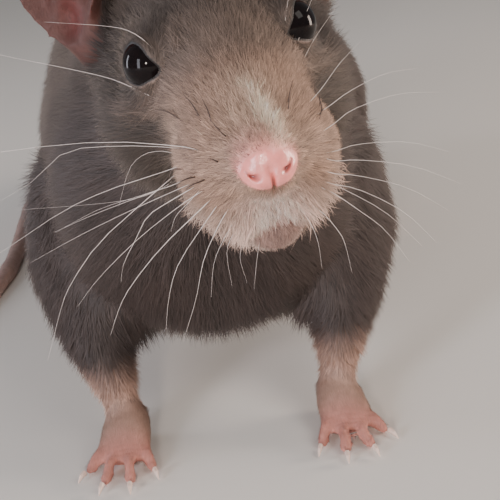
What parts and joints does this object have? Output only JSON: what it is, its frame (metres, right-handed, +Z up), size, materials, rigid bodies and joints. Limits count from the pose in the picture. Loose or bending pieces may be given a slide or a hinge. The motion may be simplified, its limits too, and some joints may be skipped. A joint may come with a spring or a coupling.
{
  "type": "dumbo rat",
  "caption": "Life-size fancy rat with large low-set ears, standing low on four feet with its head raised and turned a little and its tail laid along its side.",
  "frame": {"origin": "On the floor, under the middle of the whole rat's bounding box, tail included.", "axes": "+Z up, -Y the way the rat looks, +X the rat's left side."},
  "size_m": [0.1, 0.192, 0.0888],
  "materials": {
    "coat": "short dense dark brown-grey fur",
    "face_coat": "very short plush warm beige-grey fur",
    "foot_coat": "pink skin under very short white hair",
    "bare_skin": "moist pink skin with fine pimples",
    "ear_skin": "thin pink-brown skin with down",
    "tail_skin": "ringed scaly skin with short bristles",
    "eyes": "wet black",
    "claws": "clear pale horn"
  },
  "bodies": {
    "root": {"head": "face_coat", "nose": "bare_skin", "jaw": "face_coat", "torso": "coat", "neck": "coat", "eye_right": "eyes", "ear_right": "ear_skin", "foreleg_right": "coat", "forepaw_right": "foot_coat", "hindleg_right": "coat", "hindfoot_right": "foot_coat", "claw_fore_right_1": "claws", "claw_fore_right_2": "claws", "claw_fore_right_3": "claws", "claw_fore_right_4": "claws", "claw_hind_right_1": "claws", "claw_hind_right_2": "claws", "claw_hind_right_3": "claws", "claw_hind_right_4": "claws", "claw_hind_right_5": "claws", "eye_left": "eyes", "ear_left": "ear_skin", "foreleg_left": "coat", "forepaw_left": "foot_coat", "hindleg_left": "coat", "hindfoot_left": "foot_coat", "claw_fore_left_1": "claws", "claw_fore_left_2": "claws", "claw_fore_left_3": "claws", "claw_fore_left_4": "claws", "claw_hind_left_1": "claws", "claw_hind_left_2": "claws", "claw_hind_left_3": "claws", "claw_hind_left_4": "claws", "claw_hind_left_5": "claws", "tail_1": "tail_skin", "tail_2": "tail_skin", "tail_3": "tail_skin", "tail_4": "tail_skin", "tail_5": "tail_skin"}
  },
  "joints": []
}
